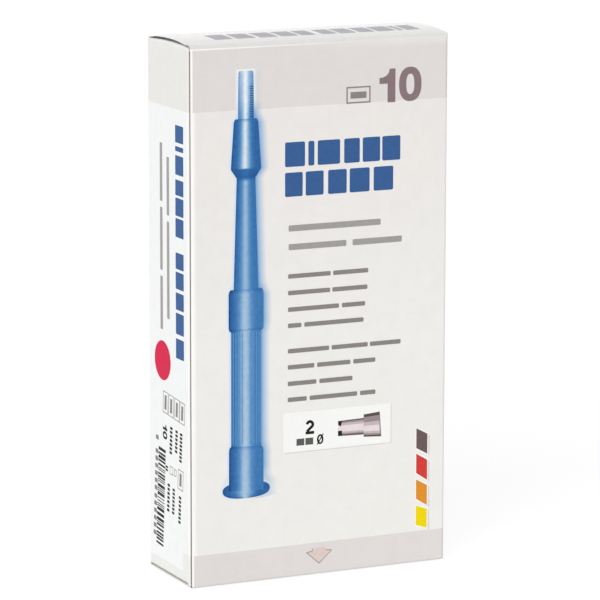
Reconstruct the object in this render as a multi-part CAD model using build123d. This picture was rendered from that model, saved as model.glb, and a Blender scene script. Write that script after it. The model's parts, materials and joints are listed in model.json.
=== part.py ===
from build123d import *
import os
from math import asin, cos, degrees, sin, sqrt

# A folding carton of instruments: one creased and glued blank of boxboard, closed at each end by a
# tuck lid, with sealed pouches standing inside. Millimetres, +Z up, origin at the base's centre.
# The front faces -Y. The top lid hinges at the front and the bottom lid at the back.

# Carton, outside, up to the folds of the top lid
carton_width = 69.0
carton_depth = 25.5
carton_height = 132.0

# Boxboard and its creases
board = 0.45
fold_inner_radius = 0.5
crease_land = 0.2
raw_edge_inset = 0.15

# Glued seam, in the corner between the left side and the front
seam_setback = 0.25
seam_relief = 0.25
glue_flap_width = 12.0
glue_flap_slant = 4.0
glue_flap_clearance = 2.0

# Lids: a panel, a creased fold at each end of it, and a tuck tab that slides inside the far wall
lid_bow = 0.75
lid_fold_inner_radius = 0.15
lid_side_setback = 0.25
hinge_gap = 0.05
tuck_clearance = 0.35
tuck_tab_length = 11.0
tuck_tab_setback = 1.0
tuck_tab_corner = 8.0

# Dust flaps, folded in under the lids from the two sides
flap_mouth = 10.0
top_flap_gap = 0.15
top_flap_crown = 0.42
bottom_flap_gap = 0.1
bottom_flap_crown = 0.0
flap_hinge_setback = 0.8
flap_tuck_clearance = 0.35
flap_hinge_corner = 5.0
flap_tuck_chamfer = 7.0

# Sealed pouches, standing in rows on the bottom dust flaps
pouch_columns = 5
pouch_rows = 2
pouch_gap = 0.3
pouch_rest_gap = 0.1
pouch_headspace = 9.0
pouch_corner = 4.6
pouch_shoulder = 14.0
pouch_seal_length = 8.0
pouch_seal_thickness = 0.6

# Worked out from the sizes above
half_width = carton_width / 2
half_depth = carton_depth / 2
board_middle = board / 2
fold_radius = board + fold_inner_radius
fold_path_radius = fold_radius - board_middle
lid_fold_radius = board + lid_fold_inner_radius
lid_fold_path_radius = lid_fold_radius - board_middle
inner_front = -half_depth + board
inner_back = half_depth - board
hinge_drop = lid_fold_radius + crease_land
hinge_height = carton_height - hinge_drop
flap_hinge_edge = inner_front + flap_hinge_setback
flap_tuck_edge = inner_back - tuck_clearance - board - flap_tuck_clearance
lid_width = carton_width - 2 * lid_side_setback
tuck_reach = carton_depth - board - tuck_clearance
pouch_floor = 2 * board + bottom_flap_gap + pouch_rest_gap
pouch_length = carton_height - board - pouch_headspace - pouch_floor
pouch_width = (carton_width - 2 * board - (pouch_columns + 1) * pouch_gap) / pouch_columns
pouch_thickness = (carton_depth - 3 * board - (pouch_rows + 1) * pouch_gap) / pouch_rows


def upside_down(shape):
    """Turn a top closure over, front to back as well, so that it closes the bottom."""
    centre = Pos(0, 0, carton_height / 2)
    return centre * Rot(180, 0, 0) * centre.inverse() * shape


def block(low, high):
    """A box between its lowest and highest corners."""
    size = Vector(high) - Vector(low)
    return Pos(*low) * Box(*size, align=(Align.MIN, Align.MIN, Align.MIN))


def flap_level(gap):
    """Height of a top dust flap's outer face, at a gap below the lid."""
    return carton_height - board - gap


def wall_strip():
    """Front, right, back and left panels: one strip of board, folded round from the seam."""
    path = FilletPolyline(
        (-half_width + seam_setback, -half_depth + board_middle),
        (half_width - board_middle, -half_depth + board_middle),
        (half_width - board_middle, half_depth - board_middle),
        (-half_width + board_middle, half_depth - board_middle),
        (-half_width + board_middle, 0),
        radius=fold_path_radius,
    )
    return extrude(trace(path, line_width=board), carton_height)


def seam_strip():
    """The rest of the left panel, its front fold and the glue flap stuck behind the front panel."""
    fold_end = -half_width + fold_radius - seam_relief
    flap_end = -half_width + fold_radius + glue_flap_width
    path = FilletPolyline(
        (-half_width + board_middle, 0),
        (-half_width + board_middle, inner_front + board_middle),
        (flap_end, inner_front + board_middle),
        radius=fold_path_radius,
    )
    low = hinge_drop + tuck_tab_length + glue_flap_clearance
    high = flap_level(top_flap_gap) - board - glue_flap_clearance
    outline = Polyline(
        (-half_width, 0),
        (fold_end, 0),
        (fold_end, low),
        (flap_end, low + glue_flap_slant),
        (flap_end, high - glue_flap_slant),
        (fold_end, high),
        (fold_end, carton_height),
        (-half_width, carton_height),
        close=True,
    )
    front_view = extrude(Plane.XZ * make_face(outline), half_depth)
    return extrude(trace(path, line_width=board), carton_height) & front_view


def end_trim(gap):
    """What is cut off the top of the walls, so that each panel ends at its fold or its raw edge."""
    over = carton_height + fold_radius
    corner = half_width - fold_radius
    notch = hinge_height - hinge_gap
    raw_edge = carton_height - raw_edge_inset
    shoulder = flap_level(gap) - fold_radius
    cuts = [
        block((-half_width, -half_depth, notch), (half_width, inner_front, over)),
        block((-half_width, inner_back, raw_edge), (half_width, half_depth, over)),
    ]
    for left, right in ((-half_width, -corner), (corner, half_width)):
        cuts.append(block((left, -half_depth, notch), (right, flap_hinge_edge, over)))
        cuts.append(block((left, flap_hinge_edge, shoulder), (right, flap_tuck_edge, over)))
        cuts.append(block((left, flap_tuck_edge, flap_level(gap)), (right, inner_back, over)))
    return cuts


def flap_outline(crown, gap):
    """Plan of the left top dust flap: rounded beside the lid's hinge, chamfered beside its tuck."""
    tip = -flap_mouth / 2
    plan = make_face(
        Polyline(
            (-half_width, flap_hinge_edge),
            (tip, flap_hinge_edge),
            (tip, flap_tuck_edge - flap_tuck_chamfer),
            (tip - flap_tuck_chamfer, flap_tuck_edge),
            (-half_width, flap_tuck_edge),
            close=True,
        )
    )
    plan = fillet(plan.vertices().sort_by_distance((tip, flap_hinge_edge, 0))[0], flap_hinge_corner)
    root = flap_level(gap) - 2 * fold_radius - crown
    return Pos(0, 0, root) * extrude(plan, flap_level(gap) + crown - root)


def dust_flap(crown, gap):
    """The left top dust flap and its fold. A crown lifts the middle of the fold above its ends."""
    level = flap_level(gap)
    path = FilletPolyline(
        (-half_width + board_middle, level - 2 * fold_radius - crown),
        (-half_width + board_middle, level - board_middle),
        (-flap_mouth / 2, level - board_middle),
        radius=fold_path_radius,
    )
    section = Plane.XZ * trace(path, line_width=board)
    if crown:
        arc_radius = (half_depth**2 + crown**2) / (2 * crown)
        spread = 2 * degrees(asin(half_depth / arc_radius))
        axis = Axis((0, 0, level + crown - arc_radius), (1, 0, 0))
        first_section = (Pos(0, 0, crown) * section).rotate(axis, -spread / 2)
        sheet = revolve(first_section, axis=axis, revolution_arc=spread)
    else:
        sheet = extrude(section, half_depth, both=True)
    return sheet & flap_outline(crown, gap)


def flap_pair(crown, gap):
    """Both top dust flaps."""
    left = dust_flap(crown, gap)
    return [left, mirror(left, Plane.YZ)]


def carton_body():
    """Walls, seam and the four dust flaps: the whole blank apart from its two lids."""
    bottom_trim = [upside_down(cut) for cut in end_trim(bottom_flap_gap)]
    bottom_flaps = [upside_down(flap) for flap in flap_pair(bottom_flap_crown, bottom_flap_gap)]
    walls = wall_strip() + seam_strip() - end_trim(top_flap_gap) - bottom_trim
    return walls + flap_pair(top_flap_crown, top_flap_gap) + bottom_flaps


def lid_outline(bow):
    """Full width over the panel and its hinge, then the tuck tab's rounded outline below the panel."""
    side = lid_width / 2
    tab_side = side - tuck_tab_setback
    underside = hinge_drop - board
    tab = make_face(
        Polyline(
            (-tab_side, underside),
            (tab_side, underside),
            (tab_side, -tuck_tab_length),
            (-tab_side, -tuck_tab_length),
            close=True,
        )
    )
    tab = fillet(tab.vertices().sort_by(Axis.Y)[:2], tuck_tab_corner)
    panel = block((-side, 0, underside), (side, carton_depth, hinge_drop + bow))
    hinge = block((-side, 0, 0), (side, lid_fold_radius, underside))
    return panel + hinge + extrude(Plane.XZ * tab, -carton_depth)


def lid(bow):
    """A tuck lid hinged on the X axis: fold, panel towards +Y with its bow, and curved tuck tab."""
    level = hinge_drop - board_middle
    tab_radius = tuck_reach - board_middle
    tab_angle = tuck_tab_length / tab_radius
    crease = Vector(board_middle, level)
    tuck = Vector(sqrt(tab_radius**2 - level**2), level)
    crown = (crease + tuck) / 2 + Vector(0, bow)
    tab_middle = Vector(tab_radius * cos(tab_angle / 2), -tab_radius * sin(tab_angle / 2))
    tab_tip = Vector(tab_radius * cos(tab_angle), -tab_radius * sin(tab_angle))
    panel = ThreePointArc(crease, crown, tuck) if bow else Line(crease, tuck)
    path = Curve() + [
        Line((board_middle, 0), crease),
        panel,
        ThreePointArc(tuck, tab_middle, tab_tip),
    ]
    for corner in (crease, tuck):
        path = fillet(path.vertices().sort_by_distance(corner)[0], lid_fold_path_radius)
    section = Plane.YZ * trace(path, line_width=board)
    return extrude(section, lid_width / 2, both=True) & lid_outline(bow)


def pouch():
    """A sealed pouch standing on the origin: two flat seals, two sloping shoulders, a full middle."""
    full_start = pouch_seal_length + pouch_shoulder
    flank = [
        (pouch_seal_thickness / 2, 0),
        (pouch_seal_thickness / 2, pouch_seal_length),
        (pouch_thickness / 2, full_start),
        (pouch_thickness / 2, pouch_length - full_start),
        (pouch_seal_thickness / 2, pouch_length - pouch_seal_length),
        (pouch_seal_thickness / 2, pouch_length),
    ]
    other_flank = [(-y, z) for y, z in reversed(flank)]
    side_view = make_face(Polyline(*flank, *other_flank, close=True))
    tapered = extrude(Plane.YZ * side_view, pouch_width / 2, both=True)
    return tapered & extrude(RectangleRounded(pouch_width, pouch_thickness, pouch_corner), pouch_length)


def pouch_places():
    """Each pouch's name and place, in a front and a back row, numbered from the left."""
    first_x = -half_width + board + pouch_gap + pouch_width / 2
    first_y = inner_front + board + pouch_gap + pouch_thickness / 2
    for row in range(pouch_rows):
        for column in range(pouch_columns):
            x = first_x + column * (pouch_width + pouch_gap)
            y = first_y + row * (pouch_thickness + pouch_gap)
            yield f"pouch_row{row + 1}_{column + 1}", Pos(x, y, pouch_floor)


os.makedirs("parts", exist_ok=True)
nodes = {
    "carton_body": carton_body(),
    "top_lid": Pos(0, -half_depth, hinge_height) * lid(lid_bow),
    "bottom_lid": Pos(0, half_depth, hinge_drop) * Rot(180, 0, 0) * lid(0),
}
full_pouch = pouch()
for pouch_name, place in pouch_places():
    nodes[pouch_name] = place * full_pouch
for node_name, solid in nodes.items():
    export_step(solid, f"parts/{node_name}.step")
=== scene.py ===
"""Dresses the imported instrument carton: printed boxboard, creased lids, paper pouches and a studio."""

import json
import math
import random

import bmesh
import bpy
from bpy.props import FloatProperty, FloatVectorProperty, IntProperty, PointerProperty
from mathutils import Matrix, Vector
from mathutils.bvhtree import BVHTree

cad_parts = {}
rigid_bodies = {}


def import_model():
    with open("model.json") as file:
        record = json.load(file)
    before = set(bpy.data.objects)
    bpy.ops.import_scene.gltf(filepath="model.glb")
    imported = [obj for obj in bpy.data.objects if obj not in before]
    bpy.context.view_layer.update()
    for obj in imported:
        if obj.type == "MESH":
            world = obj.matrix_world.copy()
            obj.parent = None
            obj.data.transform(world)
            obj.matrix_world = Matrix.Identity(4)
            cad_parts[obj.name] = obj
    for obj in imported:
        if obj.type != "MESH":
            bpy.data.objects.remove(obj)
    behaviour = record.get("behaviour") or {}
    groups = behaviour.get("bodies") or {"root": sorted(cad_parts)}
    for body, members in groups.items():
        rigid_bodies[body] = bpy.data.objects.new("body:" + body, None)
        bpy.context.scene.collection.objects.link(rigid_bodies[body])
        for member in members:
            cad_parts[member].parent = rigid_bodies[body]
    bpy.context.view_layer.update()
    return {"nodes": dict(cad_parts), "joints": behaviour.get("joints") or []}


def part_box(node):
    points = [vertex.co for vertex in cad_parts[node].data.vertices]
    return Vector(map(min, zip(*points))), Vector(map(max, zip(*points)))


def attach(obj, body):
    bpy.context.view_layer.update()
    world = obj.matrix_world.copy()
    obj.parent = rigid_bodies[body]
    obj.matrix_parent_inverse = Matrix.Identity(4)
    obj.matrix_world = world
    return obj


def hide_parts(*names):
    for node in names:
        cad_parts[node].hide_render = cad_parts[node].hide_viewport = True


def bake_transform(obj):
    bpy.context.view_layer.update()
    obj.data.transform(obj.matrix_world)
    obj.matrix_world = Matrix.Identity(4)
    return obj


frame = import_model()

bl_info = {
    "name": "Instrument carton",
    "version": (1, 0, 0),
    "blender": (4, 5, 0),
    "location": "View3D > Sidebar > Carton",
    "description": "Print, creases, pouches and studio for a small folding carton",
    "category": "Object",
}

MM = 0.001
MERGE = 1e-7
LEVEL = Matrix.Identity(4)
BODY_LOW, BODY_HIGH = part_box("carton_body")
HALF_WIDTH, HALF_DEPTH = BODY_HIGH.x / MM, BODY_HIGH.y / MM
PANEL_HEIGHT = 132.0
TOP_HINGE, BOTTOM_HINGE = (Vector(joint["pos_m"]) for joint in frame["joints"])
POUCH_NODES = sorted(name for name in frame["nodes"] if name.startswith("pouch_"))

# Each panel's own plane, in millimetres: a point on it, across, and up.
PANELS = {
    "front": ((0, -HALF_DEPTH, 0), (1, 0, 0), (0, 0, 1)),
    "left": ((-HALF_WIDTH, 0, 0), (0, -1, 0), (0, 0, 1)),
    "right": ((HALF_WIDTH, 0, 0), (0, 1, 0), (0, 0, 1)),
    "back": ((0, HALF_DEPTH, 0), (-1, 0, 0), (0, 0, 1)),
}

# Fields of the board's print, wear and painted light and shade, in millimetres of the carton. FAR is past
# every face. The board is coated to COAT_DEPTH, and what is printed on a face lies within its SKIN.
FAR = 150.0
FOLD_RADIUS, COAT_DEPTH = 0.95, 0.2
SKIN, SIDE_SKIN = 0.25, 0.2
FRONT, BACK = ((face - SKIN, face + SKIN) for face in (-HALF_DEPTH, HALF_DEPTH))
LEFT, RIGHT = ((face - SIDE_SKIN, face + SIDE_SKIN) for face in (-HALF_WIDTH, HALF_WIDTH))
BAND_TOP, SIDE_BAND_TOP = 131.3, 131.8
DATA_PATCH_ACROSS, DATA_PATCH_FOOT, DATA_PATCH_OVERLAP = (-8.1, 12.0), 3.5, 0.1
# A limit is an axis with a range on it, or with a fade between two places and its level at each.
FIELDS = {
    "between_flaps": [("z", 0.92, 131.08)],
    "tint_shade_rise": [("z", 60.0, 116.0, 0.0, 1.0)],
    "fold_crest_highlight": [("past_fold", 0.1, 0.5, 0.0, 1.0)],
    "seam_margin_and_highlight": [("x", -33.7, -32.7, 1.0, 0.0), ("y", *FRONT)],
    "seam_strip": [("x", -FAR, -33.6), ("y", *FRONT)],
    "foot_contact_shadow": [("y", *FRONT), ("z", -FAR, 0.4)],
    "raw_edge": [("x", -34.3, -34.19), ("y", -12.76, -12.28)],
    "crease": [("x", -34.0, 6.0, 0.9, 0.2), ("y", *FRONT), ("z", 130.85, 131.22)],
    "crease_highlight_end": [
        ("x", -8.0, 20.0, 0.0, 0.22), ("y", *FRONT), ("z", 129.0, 130.5, 0.0, 1.0), ("z", 128.0, 131.4),
    ],
    "glow": [
        ("past_picture", -2.0, FAR), ("y", *FRONT), ("z", 20.81, 125.74), ("z", 24.0, 29.0, 0.35, 1.0),
        ("z", 115.5, 118.5, 1.0, 0.3),
    ],
    "halo": [
        ("off_axis", 1.9, 3.0, 0.9, 0.0), ("y", *FRONT), ("z", 114.2, 125.84), ("z", 115.8, 118.2, 0.0, 1.0),
    ],
    "lid_gap": [("off_gap", 6.5, 10.5, 1.0, 0.0), ("z", 66.0, FAR)],
    "lid_painted_light": [("y", -12.0, 2.0, 0.0, 1.0), ("z", 131.4, FAR)],
    "top_lid_fold": [("y", -FAR, -12.2), ("z", 131.0, 131.93)],
    "bottom_lid_fold": [("y", 12.2, FAR), ("z", 0.07, 1.0)],
    "foot_core_and_shade": [("z", 0.36, 0.46)],
    "above_foot": [("z", 0.46, FAR)],
}
LID_GAP_MIDDLE = 1.5

# Layout of the print, in millimetres on a panel. A row has its bottom and top, or its bottom alone, and the
# left and right ends of its words. A bar or box by itself has its left, right, bottom and top. Words are
# plain bars, and the large titles have one block for each sign.
TITLE_ROWS = {
    (101.62, 107.6): [
        (-9.47, -4.18), (-3.29, -1.69), (-0.79, 5.19), (6.29, 10.48), (11.28, 15.97), (16.56, 21.45),
    ],
    (94.36, 100.23): [(-9.47, -4.78), (-3.98, 0.8), (2.0, 6.99), (7.79, 13.17), (14.27, 19.56)],
}
SUBTITLE_ROWS = {(85.89, 87.39): [(-8.5, 16.23)], (81.32, 82.81): [(-8.5, 6.96), (8.65, 22.02)]}
TEXT_HEIGHT = 1.1
TEXT_LINES = {
    74.36: [(-8.62, 2.75), (3.45, 12.92)],
    70.27: [(-8.63, 2.64), (3.24, 12.72)],
    66.19: [(-8.64, 5.03), (5.83, 12.11)],
    62.21: [(-8.65, -5.06), (-4.26, 11.7)],
    55.94: [(-8.66, 2.41), (3.11, 12.89), (13.49, 21.87)],
    51.95: [(-8.67, -1.58), (-0.79, 8.19), (8.99, 14.98)],
    47.87: [(-8.67, -0.99), (-0.19, 8.78)],
    43.89: [(-8.68, -3.59), (-2.8, 10.07), (10.87, 15.06)],
}
TEXT_ROWS = {(low, low + TEXT_HEIGHT): words for low, words in TEXT_LINES.items()}
BACK_SHIFT = -6.0
TITLE_ROUNDING = 1.6
CONTENTS_PLACE, CONTENTS_FRAME, CONTENTS_LINE = (15.7, 115.78), (6.82, 13.3, 116.04, 120.12), 0.35
CONTENTS_WORD = (7.92, 12.21, 117.23, 118.82)

# Columns on the sides: left and right, and the upper and lower ends of the words, which run downwards.
SIDE_TITLE = {
    (4.32, 9.12): [
        (112.31, 108.13), (107.23, 106.04), (105.04, 100.36), (99.17, 95.38), (94.78, 90.4), (89.81, 85.22),
        (81.44, 77.45), (76.76, 72.57), (71.68, 67.49), (66.7, 61.51), (60.42, 55.54),
    ],
}
SIDE_LINES = {
    (-5.08, -3.61): [(106.91, 92.67), (91.18, 75.75), (74.25, 61.11)],
    (-0.97, 0.5): [(103.92, 89.69), (88.19, 64.29)],
}
DOT_CENTRE, DOT_RADIUS, DOT_POINTS = (-3.9, 53.43), 4.9, 72

# The data on the left side is printed later than the rest, and a little askew.
DATA_PIVOT, DATA_SKEW = Vector((1.11, 25.43, 0)), math.radians(-4.2)
DATA_BOXES = [
    (-5.09, -1.99, 40.23, 45.63), (-1.69, 1.51, 40.23, 45.63), (1.81, 4.91, 40.23, 45.63),
    (5.11, 8.21, 40.23, 45.63), (5.11, 8.31, 23.63, 28.63), (0.11, 2.01, 25.83, 27.93),
    (2.71, 4.11, 26.13, 27.93),
]
DATA_LINE, DATA_WIDE_BOX, DATA_WORD_HALF, DATA_WORD_MARGIN = 0.2, 3.0, 0.6, 0.9
DATA_BARS = [
    (-0.39, 1.11, 30.93, 38.13), (2.91, 4.31, 32.13, 38.13), (5.61, 7.11, 30.53, 38.13),
    (-2.49, -1.09, 26.03, 27.63), (-0.99, 0.41, 16.13, 23.53), (2.11, 3.51, 16.33, 23.13),
    (6.01, 7.41, 15.13, 22.33),
]
DATA_NUMBER_PLACE, DATA_NUMBER_SCALE = Vector((-4.69, 37.33, 0)), 0.32
BARCODE, BARCODE_UNIT = (-6.99, -2.69, 6.03, 30.93), 0.26
BARCODE_BARS, BARCODE_GAPS, BARCODE_DRAW = (1, 1, 2, 3), (1, 1, 2, 2), 12
# One block for each sign: pitch and inked share of it in the data, and the places beside the barcode.
SIGN_PITCH, SIGN_FILL, SIGN_ROUNDING = 1.0, 0.66, 0.8
CODE_SIGN_SIDES, CODE_SIGN_HEIGHT, CODE_SIGN_PITCH = (-8.9, -7.2), 1.1, 1.88
CODE_SIGN_RUNS = {32.35: 1, 28.85: 6, 17.35: 6}

LID_TITLE_ROWS = {
    (-7.32, -0.09): [
        (-25.21, -20.51), (-19.53, -14.65), (-13.47, -8.78), (-7.81, -3.31), (-2.53, 1.37), (3.13, 7.03),
        (7.81, 12.1), (13.08, 17.17), (17.95, 22.82), (23.6, 24.96), (25.74, 29.44),
    ],
}
# The lid's title is cut across so that it follows the bow, which is found by rays from above, in metres.
LID_TITLE_CUTS, LID_TITLE_STEP, RAY_START = 17, 0.5, 1.0
TEN_ONE = [
    (2.2, 0.0), (4.3, 0.0), (4.3, 8.2), (2.75, 8.2), (2.5, 7.2), (1.85, 6.5), (0.95, 6.15), (0.0, 6.05),
    (0.0, 4.6), (2.2, 4.6),
]
TEN_NOUGHT_CENTRE, TEN_NOUGHT, TEN_NOUGHT_HOLE = (8.35, 4.2), (3.05, 4.2, 2.3), (1.1, 2.5, 2.4)
ARROW = [
    (-1.82, 6.56), (1.57, 6.56), (1.77, 5.87), (3.26, 5.72), (-0.13, 2.68), (-3.57, 5.72), (-2.07, 5.87),
]
ARROW_LINE = 0.16

# Colour chips: heights of the upper left, upper right, lower right and lower left corners.
CHIP_SIDES = (26.44, 29.49, 29.49, 26.44)
CHIPS = {
    "dark": (34.15, 32.51, 27.43, 29.12),
    "red": (27.73, 25.89, 20.76, 22.8),
    "orange": (21.16, 19.46, 14.33, 16.23),
    "yellow": (14.48, 13.44, 8.56, 9.55),
}
CHIP_SHADE_SHIFT, CHIP_RIM = (0.65, -0.45), (0.25, 0.3)

# Size label: the label, its painted shadow on the board, and the places of its numeral, its unit and its
# diameter sign.
LABEL, LABEL_SHADE = (-9.73, 19.27, 31.32, 41.12), (-9.43, 19.52, 31.07, 40.97)
SIZE_NUMERAL = (-3.88, 35.42, 2.3, 3.5, 0.72)
BOW_START, BOW_STEP, BOW_POINTS = 170, -14, 15
SIZE_UNIT = [(-6.33, -4.23, 32.82, 34.52), (-3.93, -1.83, 32.82, 34.52)]
SIGN_CENTRE, SIGN_RING, SIGN_HOLE = (0.07, 33.9), (0.88, 1.25), (0.42, 0.78)
SIGN_SLASH, SIGN_PEN = [(-0.73, 32.6), (0.87, 35.2)], 0.3
# The tip pictured on the label: corners from the upper left, clockwise. Each tone covers a share of the
# height, from and to, and a share of the length.
TIP_CORNERS = {
    "tube": ((4.97, 37.95), (11.87, 38.13), (11.87, 33.98), (4.97, 34.21)),
    "holder": ((11.87, 38.99), (16.25, 39.33), (16.7, 33.06), (11.87, 33.39)),
}
TIP_TONES = {
    "dark": ("#5d5153", {"tube": (0.0, 1.0, 1.0), "holder": (0.0, 1.0, 1.0)}),
    "mid": ("#9a8b8e", {"tube": (0.07, 0.91, 1.0), "holder": (0.13, 0.93, 0.97)}),
    "pale": ("#c4b5b9", {"tube": (0.17, 0.83, 1.0), "holder": (0.36, 0.86, 0.95)}),
    "light": ("#e6dadd", {"tube": (0.32, 0.72, 1.0), "holder": (0.52, 0.76, 0.92)}),
}
TIP_RIMS = [
    [[(4.9, 37.1), (5.6, 36.5), (6.0, 37.95), (4.9, 37.95)]],
    [[(4.9, 34.2), (6.0, 34.2), (5.95, 35.5), (4.9, 35.5)]],
]

# Heights as shares of a film's thickness: its middle lies PROUD of the board, so that its lower side is sunk
# in, and films that overlap have different lifts. What is on the label starts from LABEL_TOP.
PROUD = 0.2
LABEL_TOP = PROUD + 0.5
CHIP_GROUND_LIFT, CHIP_SHADE_LIFT, LABEL_SHADE_LIFT = -0.2, -0.4, -0.3
ARROW_LINE_LIFT, PICTURE_LIFT, TIP_LIFT, TIP_RIM_LIFT = 0.5, 0.3, 0.12, 0.5

# The pictured instrument, from its top: height, half width, tone of the flanks, tone of the highlight.
PICTURE_AXIS = -19.75
PICTURE_UNDER = {
    "cutter": [
        (125.45, 1.75, 0.72, 0.97), (124.95, 1.95, 0.66, 1.0), (117.98, 2.05, 0.5, 1.0),
        (113.4, 2.05, 0.24, 0.95),
    ],
    "neck": [
        (100.26, 2.45, 0.05, 0.1), (99.67, 2.45, 0.1, 0.2), (98.87, 2.47, 0.18, 0.72),
        (71.79, 3.3, 0.22, 0.7),
    ],
    "barrel": [(63.03, 4.0, 0.22, 0.78), (33.36, 4.0, 0.22, 0.8)],
}
PICTURE_OVER = {
    "ferrule": [
        (113.95, 2.6, 0.1, 0.6), (113.75, 2.95, 0.12, 0.75), (113.1, 3.2, 0.12, 0.93),
        (102.35, 3.95, 0.12, 0.95), (102.06, 3.95, 0.1, 0.9), (101.76, 3.9, 0.08, 0.2),
        (99.77, 2.5, 0.08, 0.12),
    ],
    "collar": [
        (72.69, 4.0, 0.1, 0.5), (72.39, 4.4, 0.15, 0.6), (71.59, 4.6, 0.2, 0.76), (63.13, 4.6, 0.2, 0.8),
        (62.53, 4.35, 0.12, 0.6),
    ],
    "base": [
        (33.96, 4.0, 0.1, 0.5), (33.66, 4.4, 0.15, 0.65), (32.86, 4.55, 0.2, 0.76), (23.0, 4.6, 0.18, 0.8),
    ],
}
FLANGE_TOP, FLANGE_LOW, FLANGE_HALF_WIDTH, FLANGE_POWER, FLANGE_ROWS = 25.29, 21.11, 6.3, 2.4, 24
FLANGE_END, FLANGE_TONES = 0.02, (0.12, 0.8)
# How much darker the right flank is, how wide the highlight is, and how far rows droop to the right.
SHADING = {
    "cutter": (0.12, 0.46, 0.0), "neck": (-0.02, 0.4, 0.0), "barrel": (-0.04, 0.44, 0.0),
    "ferrule": (0.0, 0.36, 0.0), "collar": (-0.07, 0.38, 0.0), "base": (-0.07, 0.38, 0.2),
    "flange": (0.0, 0.36, 0.0),
}
EDGE_DARK, EDGE_POWER, HIGHLIGHT_SHIFT, PATCH_COLUMNS = 0.75, 10, 0.06, 20
RIB_RADIUS, RIB_ANGLE, RIB_HALF_WIDTH, RIB_ENDS = 4.0, 14.5, 0.11, (34.55, 62.13)
RIBS_EACH_SIDE = 5
RIDGE_SIDES, RIDGE_START, RIDGE_HEIGHT, RIDGE_PITCH, RIDGE_COUNT = (1.0, 1.95), 114.4, 0.22, 0.55, 14
# The glow printed round it: its reach on each side, how it fades, and the height and half width of what it
# follows. Its ramp holds half widths as shares of GLOW_UNIT.
GLOW_UNIT = 10.0
GLOW_LEFT, GLOW_RIGHT, GLOW_POWER = 0.8, 2.4, 1.15
GLOW_OUTLINE = [
    (20.41, 0.0), (21.31, 6.3), (24.8, 6.2), (27.0, 4.6), (32.6, 4.6), (35.2, 4.0), (61.5, 4.0), (64.3, 4.6),
    (71.0, 4.6), (74.2, 3.25), (99.67, 2.45), (101.86, 3.9), (113.0, 3.25), (115.2, 2.0), (125.35, 1.9),
    (125.94, 0.0),
]

# Lids: where the crease lies, from the hinge inwards, the cuts across it, and the gap to close there.
CREASE_REACH, CREASE_CUTS, HINGE_GAP, HINGE_EDGE = (0.33, 1.1), 12, 0.05, 0.6
# How far towards a lid the point lies that its coated faces look away from, and how square a cut edge looks.
INSIDE_SHARE, CUT_EDGE_SQUARE = 0.9, 0.7
SMOOTH_LID, SMOOTH_PAPER = math.radians(35), math.radians(50)
# Pouches: rows of points, narrowing where they are full, squareness where flat and full, and creases.
CRIMP_ROWS, SHOULDER_ROWS, FULL_ROWS = 4, 14, 16
POUCH_NARROWING, POUCH_FLAT_POWER, POUCH_FULL_POWER = 0.07, 8.0, 2.5
POUCH_TILT, POUCH_WAVES, POUCH_CREASE, POUCH_TAUT = 0.4, 7, 0.05, 0.6
CORNER_SEGMENTS = 3
# Most of a noise texture's values lie between these two. The coating's mottle is about 3 mm across. The
# board's fibres are about 0.03 mm wide, and are drawn at about 0.5 mm so that they show.
NOISE = (0.3, 0.7)
MOTTLES_PER_MM, FIBRES_PER_MM = 0.35, 2.2
# Studio: the floor just below the carton and the camera's clipping in metres, its sensor in millimetres,
# and the lights' directions.
FLOOR_HALF, FLOOR_LEVEL = 4.0, -0.1 * MM
FLOOR_SHADOW, FLOOR_GLOW = (0.3, 0.3, 0.3, 1), 0.76
KEY_AIM, FILL_AIM = (0.66, 0.58, -0.48), (-0.6, -0.72, -0.35)
SENSOR_WIDTH, CLIP = 36.0, (0.05, 20.0)
WHITE = (1, 1, 1, 1)


def linear(code):
    """The linear RGBA of an sRGB hex colour."""
    parts = [int(code[i:i + 2], 16) / 255 for i in (1, 3, 5)]
    return [p / 12.92 if p <= 0.04045 else ((p + 0.055) / 1.055) ** 2.4 for p in parts] + [1.0]


def colour(name, description, code):
    """A colour property with its default given as sRGB hex."""
    return FloatVectorProperty(
        name=name, description=description, subtype="COLOR", size=4, min=0, max=1, default=linear(code)
    )


def length(name, description, millimetres):
    """A length property with its default given in millimetres."""
    return FloatProperty(
        name=name, description=description, unit="LENGTH", subtype="DISTANCE", precision=5,
        default=millimetres * MM,
    )


def angle(name, description, degrees):
    """An angle property with its default given in degrees."""
    return FloatProperty(name=name, description=description, subtype="ANGLE", default=math.radians(degrees))


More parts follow.
